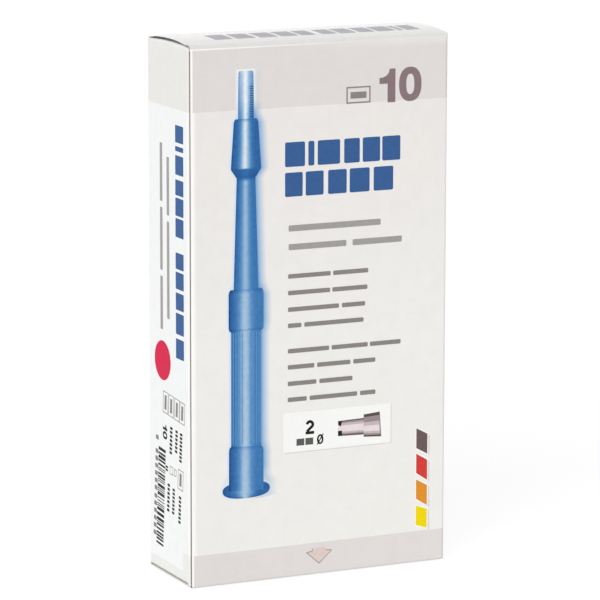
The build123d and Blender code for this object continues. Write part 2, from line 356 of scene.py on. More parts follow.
class CartonBoard(bpy.types.PropertyGroup):
    """Colours of the board and heights of its printed bands."""

    front_tint: colour("Front tint", "Pale warm grey printed on the front and back", "#ecebe7")
    # Painted shade as well as the print's hue: the front tint turns darker and pinker towards the top.
    front_top_shaded: colour("Front tint, top", "Pinker grey that the front tint turns to on its way up", "#e9e5e2")
    side_white: colour("Side white", "Coated white of the sides", "#eff1f0")
    band: colour("Band", "Grey bands across the front and back", "#ded9d7")
    side_band: colour("Side band", "Lighter grey band across the top of the sides", "#e4e3df")
    side_low_band: colour("Side band, low", "Faint grey band across the bottom of the sides", "#e7e7e4")
    # Unprinted white beside the seam and along the top crease, used there also as painted highlight.
    unprinted_and_highlight_white: colour("Seam white", "Unprinted white along the seam", "#fcfbf8")
    # Paler tint of the upright folds' crests: stretched print, and painted highlight on the rounded fold.
    fold_highlight_tint: colour("Fold tint", "Paler tint where a fold has stretched the print", "#f3f2ee")
    # Painted light: the lids' tint runs from lid_tint by the hinge, painted darker, to a paler tint towards
    # the tuck.
    lid_tint: colour("Lid tint", "Pale grey of the lids beside their hinge", "#e1e0dd")
    lid_lit_tint: colour("Lid, pale", "Paler tint of the lids towards their tuck", "#f6f5f3")
    # Painted shade as well as print: the band's grey laid over the lids' rounded creases dulls the highlight
    # on them.
    lid_fold_shade: colour("Lid fold", "Grey of the print that runs over the lids' creases", "#dedcd9")
    reverse: colour("Reverse", "Uncoated inner face of the board", "#cbc5bb")
    # The cut edge beside the seam, painted darker than the core as shade of the gap at the seam.
    raw_edge: colour("Raw edge", "Soiled cut edge beside the glued seam", "#665d57")
    core: colour("Core", "Grey core of the board, where it is cut", "#7d756e")
    core_dark: colour("Core, dark", "Core in the shade of the gap below the bowed lid", "#2a2523")
    # Painted shadow along the front's lower edge, where the carton meets the floor.
    foot_contact_shadow: colour("Worn edge", "Rubbed print along the raw lower edge", "#cfcac7")
    glow_right: colour("Glow, right", "Soft printed shade on the right of the pictured instrument", "#7aa8d3")
    glow_left: colour("Glow, left", "Thin printed glow on the left of the pictured instrument", "#c9dcf4")
    halo: colour("Halo", "White printed halo round the pictured cutter", "#f1f5f4")
    top_band: length("Top band", "Height at which the top bands start", 116.1)
    bottom_band: length("Bottom band", "Height at which the bottom bands end", 8.0)


class CartonInk(bpy.types.PropertyGroup):
    """Colours of the inks and the thickness of the printed film."""

    title: colour("Title", "Blue of the large titles", "#3b5f94")
    text: colour("Text", "Grey of the text bars", "#8a8583")
    fine: colour("Fine text", "Paler grey of the thin text bars", "#a19d9b")
    numeral: colour("Numeral", "Brown grey of the number of contents", "#87757a")
    black: colour("Black", "Black of the size number and the barcode", "#262423")
    unit: colour("Unit", "Dark grey blocks in place of the unit on the label", "#5f5b59")
    lid: colour("Lid title", "Lavender grey of the lid's title", "#b4b2b9")
    chip_dark: colour("Chip, dark", "First colour chip", "#6b5a59")
    chip_red: colour("Chip, red", "Second colour chip", "#d1403a")
    chip_orange: colour("Chip, orange", "Third colour chip", "#e0902f")
    chip_yellow: colour("Chip, yellow", "Fourth colour chip", "#ecd610")
    # The chips' printed shade, also used for the painted shadow of the stuck-on label.
    chip_shade: colour("Chip shade", "Soft grey beside each chip and below the label", "#dad4d4")
    dot: colour("Dot", "Crimson dot on the side", "#d41f4a")
    arrow: colour("Arrow", "Beige of the arrow at the bottom", "#dccac3")
    label: colour("Label", "White of the stuck-on size label", "#f5f6f3")
    rib: colour("Rib", "Blue of the ribs along the pictured barrel", "#5d92c4")
    ridge: colour("Ridge", "Dark blue of the ridges on the pictured cutter", "#24507f")
    film: length("Ink film", "Thickness of the ink on the board", 0.03)
    label_thickness: length("Label thickness", "Thickness of the stuck-on label", 0.07)
    corner: length("Bar corner", "Corner radius of the text bars", 0.25)


class CartonPouch(bpy.types.PropertyGroup):
    """Size and colour of the sealed pouches."""

    paper: colour("Paper", "White of the pouch paper", "#eef0ef")
    seal: length("Seal", "Length of the flat crimped seal at each end", 8.0)
    seal_half: length("Seal, half thickness", "Half the thickness of a flat seal", 0.28)
    shoulder: length("Shoulder", "Length over which a pouch fills out", 19.0)
    ridge: length("Ridge", "Height of a crimp ridge", 0.09)
    pitch: length("Ridge pitch", "Distance from one crimp ridge to the next", 1.0)
    slack: length("Slack", "Room left to the next pouch on each side", 0.25)
    around: IntProperty(name="Around", description="Points round a pouch", default=44, min=12)


class CartonStage(bpy.types.PropertyGroup):
    """Camera and lights of the studio."""

    yaw: angle("Yaw", "Camera's turn round the carton", -25.231)
    pitch: angle("Pitch", "Camera's height above the horizon", 10.647)
    roll: angle("Roll", "Camera's turn about its own view", 0.11)
    distance: length("Distance", "From the camera to the middle of the carton", 931.03)
    aim_right: length("Aim right", "How far the camera aims to the right of the middle", 0.518)
    aim_up: length("Aim up", "How far the camera aims above the middle", 0.298)
    lens: FloatProperty(
        name="Lens", description="Focal length on a 36 mm sensor", subtype="DISTANCE_CAMERA", default=227.35
    )
    ambient: FloatProperty(name="Ambient", description="Strength of the light from all round", default=0.55)
    key: FloatProperty(name="Key", description="Strength of the soft key light", default=1.86)
    fill: FloatProperty(name="Fill", description="Strength of the soft light from behind", default=0.55)
    softness: angle("Softness", "How wide each light looks from the carton", 45.0)
    floor: colour("Floor", "Plain pale floor", "#f2f2f2")


def plug(tree, node, sockets):
    """Set a node's sockets, given by place or by name, or link them from another node or socket."""
    for key, value in sockets.items() if isinstance(sockets, dict) else enumerate(sockets):
        if isinstance(value, bpy.types.Node):
            value = value.outputs[0]
        if isinstance(value, bpy.types.NodeSocket):
            tree.links.new(value, node.inputs[key])
        else:
            node.inputs[key].default_value = value


def add(tree, kind, sockets=(), **settings):
    """Add a node with its settings and sockets. A shader node's kind is given without its prefix."""
    full_kind = kind if kind.startswith(("Geometry", "NodeGroup")) else "ShaderNode" + kind
    made = tree.nodes.new(full_kind)
    for key, value in settings.items():
        setattr(made, key, value)
    plug(tree, made, sockets)
    return made


def new_finish(name):
    """A new material with its node tree and its main shader."""
    material = bpy.data.materials.new(name)
    material.use_nodes = True
    return material, material.node_tree, material.node_tree.nodes["Principled BSDF"]


def set_stops(ramp, stops):
    """Give a colour ramp its stops, each a place and a colour."""
    elements = ramp.color_ramp.elements
    while len(elements) < len(stops):
        elements.new(0.5)
    for element, (place, paint) in zip(elements, stops):
        element.position = place
        element.color = paint


def in_millimetres(tree, place):
    """A place in millimetres, and its x, y and z."""
    place = add(tree, "VectorMath", {0: place, "Scale": 1 / MM}, operation="SCALE")
    return place, dict(zip("xyz", add(tree, "SeparateXYZ", (place,)).outputs))


def field(tree, axes, limits, *masks):
    """The product of masks and of limits, each a range on an axis in millimetres or a fade along it."""
    masks = list(masks)
    for axis, start, end, *levels in limits:
        if levels:
            masks.append(add(tree, "MapRange", (axes[axis], start, end, *levels)))
        else:
            inside = (axes[axis], (start + end) / 2, (end - start) / 2)
            masks.append(add(tree, "Math", inside, operation="COMPARE"))
    product = masks[0]
    for mask in masks[1:]:
        product = add(tree, "Math", (product, mask), operation="MULTIPLY")
    return product


def lay(tree, surface, coats):
    """The colour of a surface with coats laid over it in turn, each a mask and its paint."""
    for mask, paint in coats:
        surface = add(tree, "Mix", {0: mask, 6: surface, 7: paint}, data_type="RGBA").outputs[2]
    return surface


def board_surface(tree, shader, place, surface, coat, sheen, roughness):
    """Colour, roughness and bump of boxboard: smooth where it is coated and fibrous where it is not."""
    mottle = add(tree, "TexNoise", {"Vector": place, "Scale": MOTTLES_PER_MM, "Detail": 3.0})
    fibre = add(
        tree, "TexNoise", {"Vector": place, "Scale": FIBRES_PER_MM, "Detail": 4.0, "Distortion": 1.2}
    )
    tone = add(tree, "MapRange", (mottle, *NOISE, 0.985, 1.015))
    fleck = add(tree, "MapRange", (fibre, *NOISE, 0.93, 1.03))
    level = add(tree, "Mix", {0: coat, 2: fleck, 3: tone}, data_type="FLOAT")
    gloss = add(tree, "MapRange", (mottle, *NOISE, roughness - 0.04, roughness + 0.04))
    depth = add(tree, "MapRange", (coat, 0.0, 1.0, 0.5, 0.0))
    plug(tree, shader, {
        "Base Color": add(tree, "VectorMath", {0: surface, "Scale": level}, operation="SCALE"),
        "Roughness": add(tree, "Mix", {0: coat, 2: 0.88, 3: gloss}, data_type="FLOAT"),
        "Specular IOR Level": sheen,
        "Normal": add(tree, "Bump", {"Height": fibre, "Strength": depth, "Distance": 0.05 * MM}),
    })


def carton_finish(board):
    """White-lined boxboard, calendered and coated outside, offset printed and varnished satin."""
    # The print is flat and soft-edged on a smooth white face. The reverse is warm, matt and fibrous, and the
    # cut edge beside the seam is a thin dark line, painted darker than the core as shade of the seam's gap.
    material, tree, shader = new_finish("coated_boxboard_printed")
    place, axes = in_millimetres(tree, add(tree, "TexCoord").outputs["Object"])

    # The outer part of each wall's board is coated, and so is all of the dust flaps past their folds.
    past = add(tree, "VectorMath", (place,), operation="ABSOLUTE")
    corner = (HALF_WIDTH - FOLD_RADIUS, HALF_DEPTH - FOLD_RADIUS, FAR)
    past = add(tree, "VectorMath", (past, corner), operation="SUBTRACT")
    past = add(tree, "VectorMath", (past, (0, 0, 0)), operation="MAXIMUM")
    reach = add(tree, "VectorMath", (past,), operation="LENGTH").outputs["Value"]
    walls = add(tree, "Math", (reach, FOLD_RADIUS - COAT_DEPTH), operation="GREATER_THAN")
    flaps = add(tree, "Math", (1.0, field(tree, axes, FIELDS["between_flaps"])), operation="SUBTRACT")
    coat = add(tree, "Math", (walls, flaps), operation="MAXIMUM")
    coats = [(coat, board.side_white)]

    low, top = board.bottom_band / MM, board.top_band / MM
    # The front tint darkens and turns pinker on its way up: painted shade as well as the print's hue.
    tint = lay(tree, board.front_tint, [(field(tree, axes, FIELDS["tint_shade_rise"]), board.front_top_shaded)])
    for face in (FRONT, BACK):
        for heights, paint in (((low, top), tint), ((top, BAND_TOP), board.band), ((-FAR, low), board.band)):
            coats.append((field(tree, axes, [("y", *face), ("z", *heights)]), paint))
    for face in (LEFT, RIGHT):
        for heights, paint in (((top, SIDE_BAND_TOP), board.side_band), ((-FAR, low), board.side_low_band)):
            coats.append((field(tree, axes, [("x", *face), ("z", *heights)]), paint))
    patch = [("x", *LEFT), ("y", *DATA_PATCH_ACROSS), ("z", DATA_PATCH_FOOT, low + DATA_PATCH_OVERLAP)]
    coats.append((field(tree, axes, patch), board.side_white))
    coats += picture_glow(tree, axes, board)

    # Each upright fold has a paler crest, partly stretched print and partly painted highlight. The front's
    # left margin is left unprinted white beside the seam, and fades into the tint as painted highlight of its
    # rounded edge.
    sides = add(tree, "SeparateXYZ", (past,)).outputs
    axes["past_fold"] = add(tree, "Math", (sides[0], sides[1]), operation="MINIMUM")
    between_bands = [("z", low, top)]
    margin = field(tree, axes, FIELDS["seam_margin_and_highlight"] + between_bands)
    strip = field(tree, axes, FIELDS["seam_strip"])
    coats += [
        # Painted highlight as well as stretched print: the paler crest of each upright fold.
        (field(tree, axes, FIELDS["fold_crest_highlight"] + between_bands), board.fold_highlight_tint),
        # Unprinted white margin beside the seam, faded into the tint as painted highlight of its rounded
        # edge.
        (add(tree, "Math", (margin, strip), operation="MAXIMUM"), board.unprinted_and_highlight_white),
        # Painted shadow: a darker strip along the front's lower edge, where it meets the floor.
        (field(tree, axes, FIELDS["foot_contact_shadow"]), board.foot_contact_shadow),
        # Painted shade as well as cut edge: the dark line of the seam's gap on the front's cut edge.
        (field(tree, axes, FIELDS["raw_edge"]), board.raw_edge),
        # Cracked print and painted highlight: the white crease line fades to the right, and its soft right
        # end is painted highlight.
        (crease_line(tree, axes), board.unprinted_and_highlight_white),
    ]
    surface = lay(tree, board.reverse, coats)
    board_surface(tree, shader, place, surface, coat, sheen=0.3, roughness=0.48)
    return material


def crease_line(tree, axes):
    """Mask of the white line that the top lid's crease has cracked in the print, faded to the right as
    painted highlight, with its soft right end, a painted highlight where the rounder fold catches light.
    """
    line, end = (field(tree, axes, FIELDS[name]) for name in ("crease", "crease_highlight_end"))
    return add(tree, "Math", (line, end), operation="MAXIMUM")


def picture_glow(tree, axes, board):
    """Coats of the soft shade that is printed round the pictured instrument, wider on its right."""
    height = add(tree, "Math", (axes["z"], PANEL_HEIGHT), operation="DIVIDE")
    widths = add(tree, "ValToRGB", (height,))
    set_stops(widths, [(z / PANEL_HEIGHT, (*[half / GLOW_UNIT] * 3, 1)) for z, half in GLOW_OUTLINE])
    half = add(tree, "Math", (widths, GLOW_UNIT), operation="MULTIPLY")
    away = add(tree, "Math", (axes["x"], PICTURE_AXIS), operation="SUBTRACT")
    coats = []
    for side, spread, paint in ((-1.0, GLOW_LEFT, board.glow_left), (1.0, GLOW_RIGHT, board.glow_right)):
        past = add(tree, "Math", (away, side), operation="MULTIPLY")
        past = add(tree, "Math", (past, half), operation="SUBTRACT")
        fade = add(tree, "MapRange", (past, 0.0, spread, 1.0, 0.0))
        fade = add(tree, "Math", (fade, GLOW_POWER), operation="POWER")
        coats.append((field(tree, axes | {"past_picture": past}, FIELDS["glow"], fade), paint))
    off = add(tree, "Math", (away,), operation="ABSOLUTE")
    coats.append((field(tree, axes | {"off_axis": off}, FIELDS["halo"]), board.halo))
    return coats


def lid_finish(board):
    """The same boxboard on the lids, read from where each point lies when the carton is shut."""
    # A glossier varnish than on the walls, a tint painted paler towards the lid's far edge as painted light,
    # a warm fibrous reverse, and cut edges that show a white liner over a thin grey core.
    material, tree, shader = new_finish("coated_boxboard_lid")
    rest = add(tree, "Attribute", attribute_name="rest_place")
    place, axes = in_millimetres(tree, rest.outputs["Vector"])
    coat, cut, liner = (
        add(tree, "Attribute", attribute_name=name).outputs["Fac"]
        for name in ("coated_face", "cut_edge", "white_liner")
    )
    # The gap below the bowed top lid opens in the middle, so its cut edge is painted darkest there, and more
    # of it dark, as painted shade of the gap. The flat bottom lid shows a thin line of core over its white
    # liner, laid at the top of its cut edge as core and as painted shade of the gap above it.
    off = add(tree, "Math", (axes["y"], LID_GAP_MIDDLE), operation="SUBTRACT")
    axes["off_gap"] = add(tree, "Math", (off,), operation="ABSOLUTE")
    deep = field(tree, axes, FIELDS["lid_gap"])
    reach = add(tree, "MapRange", (deep, 0.0, 1.0, 0.4, 0.65))
    core = add(tree, "Math", (liner, reach), operation="LESS_THAN")
    core = field(tree, axes, FIELDS["above_foot"], core)
    core = add(tree, "Math", (core, field(tree, axes, FIELDS["foot_core_and_shade"])), operation="MAXIMUM")
    # Painted light: the lids are painted paler towards their far edge.
    inwards = field(tree, axes, FIELDS["lid_painted_light"])
    surface = lay(tree, board.reverse, [
        (coat, lay(tree, board.lid_tint, [(inwards, board.lid_lit_tint)])),
        # Painted shade as well as print: band grey over the rounded creases, which dulls their highlight.
        (field(tree, axes, FIELDS["top_lid_fold"]), board.lid_fold_shade),
        (field(tree, axes, FIELDS["bottom_lid_fold"]), board.lid_fold_shade),
        # The same crease line: cracked print, faded to the right as painted highlight, with its painted
        # highlight end.
        (crease_line(tree, axes), board.unprinted_and_highlight_white),
        (field(tree, axes, [], core, cut), lay(tree, board.core, [(deep, board.core_dark)])),
    ])
    board_surface(tree, shader, place, surface, coat, sheen=0.5, roughness=0.24)
    return material


def print_mottle(tree):
    """Print mottle, which is about 0.5 mm across and is drawn at 1 mm so that it shows."""
    spot = add(tree, "TexCoord").outputs["Object"]
    return add(tree, "TexNoise", {"Vector": spot, "Scale": 1 / MM, "Detail": 2.0})


def printed_ink(name, paint, mottling=0.04):
    """Offset ink under a dull varnish, made once: flat colour, a faint mottle and hardly any sheen."""
    if name in bpy.data.materials:
        return bpy.data.materials[name]
    material, tree, shader = new_finish(name)
    mottle = print_mottle(tree)
    tone = add(tree, "MapRange", (mottle, *NOISE, 1 - mottling, 1 + mottling))
    plug(tree, shader, {
        "Base Color": add(tree, "VectorMath", {0: paint[:3], "Scale": tone}, operation="SCALE"),
        "Roughness": add(tree, "MapRange", (mottle, *NOISE, 0.4, 0.5)),
        "Specular IOR Level": 0.06,
    })
    return material


def picture_finish():
    """Four-colour screen print of a blue moulded instrument, from dark edges to a pale highlight."""
    # The tone of each point is kept with the mesh, and the ramp gives it its blue.
    material, tree, shader = new_finish("screen_printed_blue_picture")
    tone = add(tree, "Attribute", attribute_name="tone").outputs["Fac"]
    shift = add(tree, "MapRange", (print_mottle(tree), *NOISE, -0.03, 0.03))
    blues = add(tree, "ValToRGB", (add(tree, "Math", (tone, shift), operation="ADD"),))
    set_stops(blues, [(place, linear(code)) for place, code in (
        (0.0, "#17407a"), (0.07, "#2a5a96"), (0.22, "#3a73ad"), (0.5, "#6294c5"), (0.8, "#a8c4da"),
        (1.0, "#e8eef5"),
    )])
    plug(tree, shader, {"Base Color": blues, "Roughness": 0.45, "Specular IOR Level": 0.06})
    return material


def paper_finish(pouch):
    """Medical kraft paper, bleached and heat sealed: matt white with long fibres."""
    # Fibres are about 0.03 mm wide, and are drawn at 0.5 mm and four times as long so that they show.
    material, tree, shader = new_finish("medical_kraft_paper")
    spot = add(tree, "TexCoord").outputs["Object"]
    drawn_out = add(tree, "Mapping", {0: spot, "Scale": (1.0, 1.0, 0.25)})
    fibre = add(tree, "TexNoise", {"Vector": drawn_out, "Scale": 1 / (0.5 * MM), "Detail": 4.0})
    tone = add(tree, "MapRange", (fibre, *NOISE, 0.94, 1.03))
    plug(tree, shader, {
        "Base Color": add(tree, "VectorMath", {0: pouch.paper[:3], "Scale": tone}, operation="SCALE"),
        "Roughness": 0.8,
        "Normal": add(tree, "Bump", {"Height": fibre, "Strength": 0.3, "Distance": 0.04 * MM}),
    })
    return material


def ink_bars():
    """Geometry Nodes, made once: an ink bar on each point, as wide and tall as the point says."""
    if "ink_bars" in bpy.data.node_groups:
        return bpy.data.node_groups["ink_bars"]
    tree = bpy.data.node_groups.new("ink_bars", "GeometryNodeTree")
    for name, way, kind in (
        ("Points", "INPUT", "Geometry"), ("Ink film", "INPUT", "Float"), ("Ink", "INPUT", "Material"),
        ("Bars", "OUTPUT", "Geometry"),
    ):
        tree.interface.new_socket(name=name, in_out=way, socket_type="NodeSocket" + kind)
    given = add(tree, "NodeGroupInput").outputs
    size = add(tree, "GeometryNodeInputNamedAttribute", {"Name": "bar_size"}, data_type="FLOAT_VECTOR")
    sides = add(tree, "SeparateXYZ", (size,)).outputs
    scale = add(tree, "CombineXYZ", (sides[0], sides[1], given["Ink film"]))
    placed = add(tree, "GeometryNodeInstanceOnPoints", {
        "Points": given["Points"], "Instance": add(tree, "GeometryNodeMeshCube", {"Size": (1, 1, 1)}),
        "Scale": scale,
    })
    solid = add(tree, "GeometryNodeRealizeInstances", (placed,))
    inked = add(tree, "GeometryNodeSetMaterial", {"Geometry": solid, "Material": given["Ink"]})
    add(tree, "NodeGroupOutput", (inked,))
    return tree


def put_piece(name, mesh, material, body):
    """Link a finished mesh as a piece of the carton that rides on a body."""
    mesh.materials.clear()
    mesh.materials.append(material)
    piece = bpy.data.objects.new(name, mesh)
    bpy.context.scene.collection.objects.link(piece)
    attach(piece, body)
    return piece


def put_on_panel(name, panel, mesh, material, film, lift=0.0, skew=LEVEL):
    """Put a flat mesh on a panel, with a little of its film sunk in the board and any lift above that."""
    origin, across, up = (Vector(v) for v in PANELS[panel])
    out = across.cross(up)
    matrix = Matrix((across, up, out)).transposed().to_4x4()
    matrix.translation = origin * MM + out * (film * PROUD + lift)
    mesh.transform(matrix @ skew)
    put_piece(name, mesh, material, "carton")


def plain_mesh(source):
    """The evaluated mesh of an object, which is removed."""
    bpy.context.scene.collection.objects.link(source)
    bpy.context.view_layer.update()
    mesh = bpy.data.meshes.new_from_object(source.evaluated_get(bpy.context.evaluated_depsgraph_get()))
    data = source.data
    bpy.data.objects.remove(source)
    bpy.data.batch_remove([data])
    return mesh


def finished_mesh(shape, name):
    """The mesh of a bmesh, which is freed."""
    mesh = bpy.data.meshes.new(name)
    shape.to_mesh(mesh)
    shape.free()
    return mesh


def everything(shape):
    """All that a cut goes through."""
    return shape.verts[:] + shape.edges[:] + shape.faces[:]


def bar_mesh(name, bars, film, material, corner):
    """Ink bars on a panel's own plane, each with rounded corners."""
    points = bpy.data.meshes.new(name)
    points.from_pydata([((a + b) / 2 * MM, (c + d) / 2 * MM, 0) for a, b, c, d in bars], [], [])
    sizes = points.attributes.new("bar_size", "FLOAT_VECTOR", "POINT")
    for item, (a, b, c, d) in zip(sizes.data, bars):
        item.vector = ((b - a) * MM, (d - c) * MM, 0)
    carrier = bpy.data.objects.new(name, points)
    modifier = carrier.modifiers.new("ink_bars", "NODES")
    modifier.node_group = ink_bars()
    sockets = {item.name: item.identifier for item in modifier.node_group.interface.items_tree}
    modifier[sockets["Ink film"]] = film
    modifier[sockets["Ink"]] = material
    mesh = plain_mesh(carrier)
    if corner:
        shape = bmesh.new()
        shape.from_mesh(mesh)
        upright = [e for e in shape.edges if abs((e.verts[0].co - e.verts[1].co).z) > film / 2]
        bmesh.ops.bevel(
            shape, geom=upright, offset=corner, segments=CORNER_SEGMENTS, affect="EDGES", profile=0.5
        )
        shape.to_mesh(mesh)
        shape.free()
    return mesh


def print_bars(name, panel, bars, material, corner=0.0, lift=0.0, skew=LEVEL):
    """Print plain bars on a panel."""
    film = bpy.context.scene.carton_ink.film
    mesh = bar_mesh(name, bars, film, material, corner)
    put_on_panel(name, panel, mesh, material, film, lift, skew)


def print_shapes(name, panel, shapes, material, lift=0.0, skew=LEVEL):
    """Print flat shapes on a panel, each a list of loops whose inner ones are holes."""
    film = bpy.context.scene.carton_ink.film
    joined = bmesh.new()
    for loops in shapes:
        curve = bpy.data.curves.new(name, "CURVE")
        curve.dimensions = "2D"
        curve.fill_mode = "BOTH"
        curve.extrude = film / 2
        for loop in loops:
            spline = curve.splines.new("POLY")
            spline.points.add(len(loop) - 1)
            for point, (u, v) in zip(spline.points, loop):
                point.co = (u * MM, v * MM, 0, 1)
            spline.use_cyclic_u = True
        mesh = plain_mesh(bpy.data.objects.new(name, curve))
        joined.from_mesh(mesh)
        bpy.data.meshes.remove(mesh)
    bmesh.ops.remove_doubles(joined, verts=joined.verts, dist=MERGE)
    bmesh.ops.recalc_face_normals(joined, faces=joined.faces)
    put_on_panel(name, panel, finished_mesh(joined, name), material, film, lift, skew)


def rows_of(table, shift=0.0):
    """Bars of a table of rows, each given by its bottom and top with the ends of its words."""
    return [(a + shift, b + shift, *row) for row, words in table.items() for a, b in words]


def columns_of(table):
    """Bars of a table of columns, each given by its sides with the upper and lower ends of its words."""
    return [(*sides, low, high) for sides, words in table.items() for high, low in words]


def sign_blocks(bars):
    """Upright bars cut into one block for each sign."""
    blocks = []
    for left, right, low, high in bars:
        count = round((high - low) / SIGN_PITCH)
        pitch = (high - low) / count
        blocks += [(left, right, low + i * pitch, low + (i + SIGN_FILL) * pitch) for i in range(count)]
    return blocks


def oval(turn, half_width, half_height, power):
    """A point on an ellipse, or on a squarer one for a higher power."""
    c, s = math.cos(turn), math.sin(turn)
    return (
        half_width * math.copysign(abs(c) ** (2 / power), c),
        half_height * math.copysign(abs(s) ** (2 / power), s),
    )


def ring(centre, half_width, half_height, power=2.0, count=48):
    """A loop round an oval."""
    points = (oval(2 * math.pi * i / count, half_width, half_height, power) for i in range(count))
    return [(centre[0] + u, centre[1] + v) for u, v in points]


def rectangle(left, right, low, high):
    """Four corners."""
    return [(left, low), (right, low), (right, high), (left, high)]


def framed(left, right, low, high, line):
    """A rectangle whose hole leaves a line all round."""
    hole = rectangle(left + line, right - line, low + line, high - line)
    return [rectangle(left, right, low, high), hole[::-1]]


def stroke(points, width):
    """The outline of a pen stroke along points."""
    sides = ([], [])
    for i, point in enumerate(points):
        before, after = Vector(points[max(i - 1, 0)]), Vector(points[min(i + 1, len(points) - 1)])
        along = (after - before).normalized()
        off = Vector((-along.y, along.x)) * width / 2
        sides[0].append(tuple(Vector(point) + off))
        sides[1].append(tuple(Vector(point) - off))
    return sides[0] + sides[1][::-1]


def tip_band(corners, from_top, to_low, reach):
    """One tone of the pictured tip, between two shares of its height and as far along as it reaches."""
    top_left, top_right, low_right, low_left = (Vector(corner) for corner in corners)
    points = []
    for share, ends in ((to_low, (0.0, reach)), (from_top, (reach, 0.0))):
        left, right = top_left.lerp(low_left, share), top_right.lerp(low_right, share)
        points += [tuple(left.lerp(right, end)) for end in ends]
    return points


def numeral_two(left, low, width, height, pen):
    """A figure two: a bow that runs down to its foot, and the foot."""
    radius = width / 2 - pen / 2
    middle = (left + width / 2, low + height - pen / 2 - radius)
    turns = (math.radians(BOW_START + BOW_STEP * i) for i in range(BOW_POINTS))
    bow = [(middle[0] + radius * math.cos(a), middle[1] + radius * math.sin(a)) for a in turns]
    bow.append((left + pen / 2, low + pen))
    return [[stroke(bow, pen)], [rectangle(left, left + width, low, low + pen)]]


def ten(left, low, scale):
    """The number of contents, a figure one and a nought."""
    nought = [ring(TEN_NOUGHT_CENTRE, *TEN_NOUGHT), ring(TEN_NOUGHT_CENTRE, *TEN_NOUGHT_HOLE)[::-1]]
    return [
        [[(left + u * scale, low + v * scale) for u, v in loop] for loop in loops]
        for loops in ([TEN_ONE], nought)
    ]


class CARTON_OT_board(bpy.types.Operator):
    """Give the carton's body its printed boxboard"""

    bl_idname = "carton.board"
    bl_label = "Boxboard"

    def execute(self, context):
        node = frame["nodes"]["carton_body"]
        node.data.materials.clear()
        node.data.materials.append(carton_finish(context.scene.carton_board))
        return {"FINISHED"}


class CARTON_OT_lids(bpy.types.Operator):
    """Make both lids, each with its crease cut across in rows"""

    bl_idname = "carton.lids"
    bl_label = "Lids"

    def execute(self, context):
        material = lid_finish(context.scene.carton_board)
        for body, hinge, way in (("top_lid", TOP_HINGE, 1), ("bottom_lid", BOTTOM_HINGE, -1)):
            inwards = Vector((0, way, way)).normalized()
            start, end = (hinge + inwards * reach * MM for reach in CREASE_REACH)
            shape = bmesh.new()
            shape.from_mesh(frame["nodes"][body].data)
            bmesh.ops.remove_doubles(shape, verts=shape.verts, dist=MERGE)
            for i in range(CREASE_CUTS + 1):
                cut = start.lerp(end, i / CREASE_CUTS)
                bmesh.ops.bisect_plane(
                    shape, geom=everything(shape), plane_co=cut, plane_no=inwards, dist=MERGE
                )
            for vert in shape.verts:
                at_hinge = abs(vert.co.z - hinge.z) < 10 * MERGE
                if at_hinge and abs(vert.co.y - hinge.y) < HINGE_EDGE * MM:
                    vert.co.z -= way * HINGE_GAP * MM
            mesh = self.marked_mesh(shape, body + "_board", hinge)
            mesh.materials.append(material)
            lid = bpy.data.objects.new(body + "_board", mesh)
            context.scene.collection.objects.link(lid)
            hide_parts(body)
            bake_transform(lid)
        return {"FINISHED"}

    def marked_mesh(self, shape, name, hinge):
        """The lid's mesh, with its shut place, coated faces, cut edges and white liner marked on it."""
        for edge in shape.edges:
            edge.smooth = edge.calc_face_angle(math.pi) < SMOOTH_LID
        half = (BODY_LOW.z + BODY_HIGH.z) / 2
        inside = Vector((0, 0, half + (hinge.z - half) * INSIDE_SHARE))
        shape.faces.index_update()
        coated, sideways = [], []
        for face in shape.faces:
            face.smooth = True
            coated.append(face.normal.dot(face.calc_center_median() - inside) > 0)
            sideways.append(abs(face.normal.x) > CUT_EDGE_SQUARE)
        lined = [
            any(coated[face.index] and not sideways[face.index] for face in vert.link_faces)
            for vert in shape.verts
        ]
        mesh = finished_mesh(shape, name)
        rest = mesh.attributes.new("rest_place", "FLOAT_VECTOR", "POINT")
        for item, vert in zip(rest.data, mesh.vertices):
            item.vector = vert.co
        for key, domain, marks in (
            ("white_liner", "POINT", lined), ("coated_face", "FACE", coated), ("cut_edge", "FACE", sideways),
        ):
            mesh.attributes.new(key, "FLOAT", domain).data.foreach_set("value", [float(m) for m in marks])
        return mesh


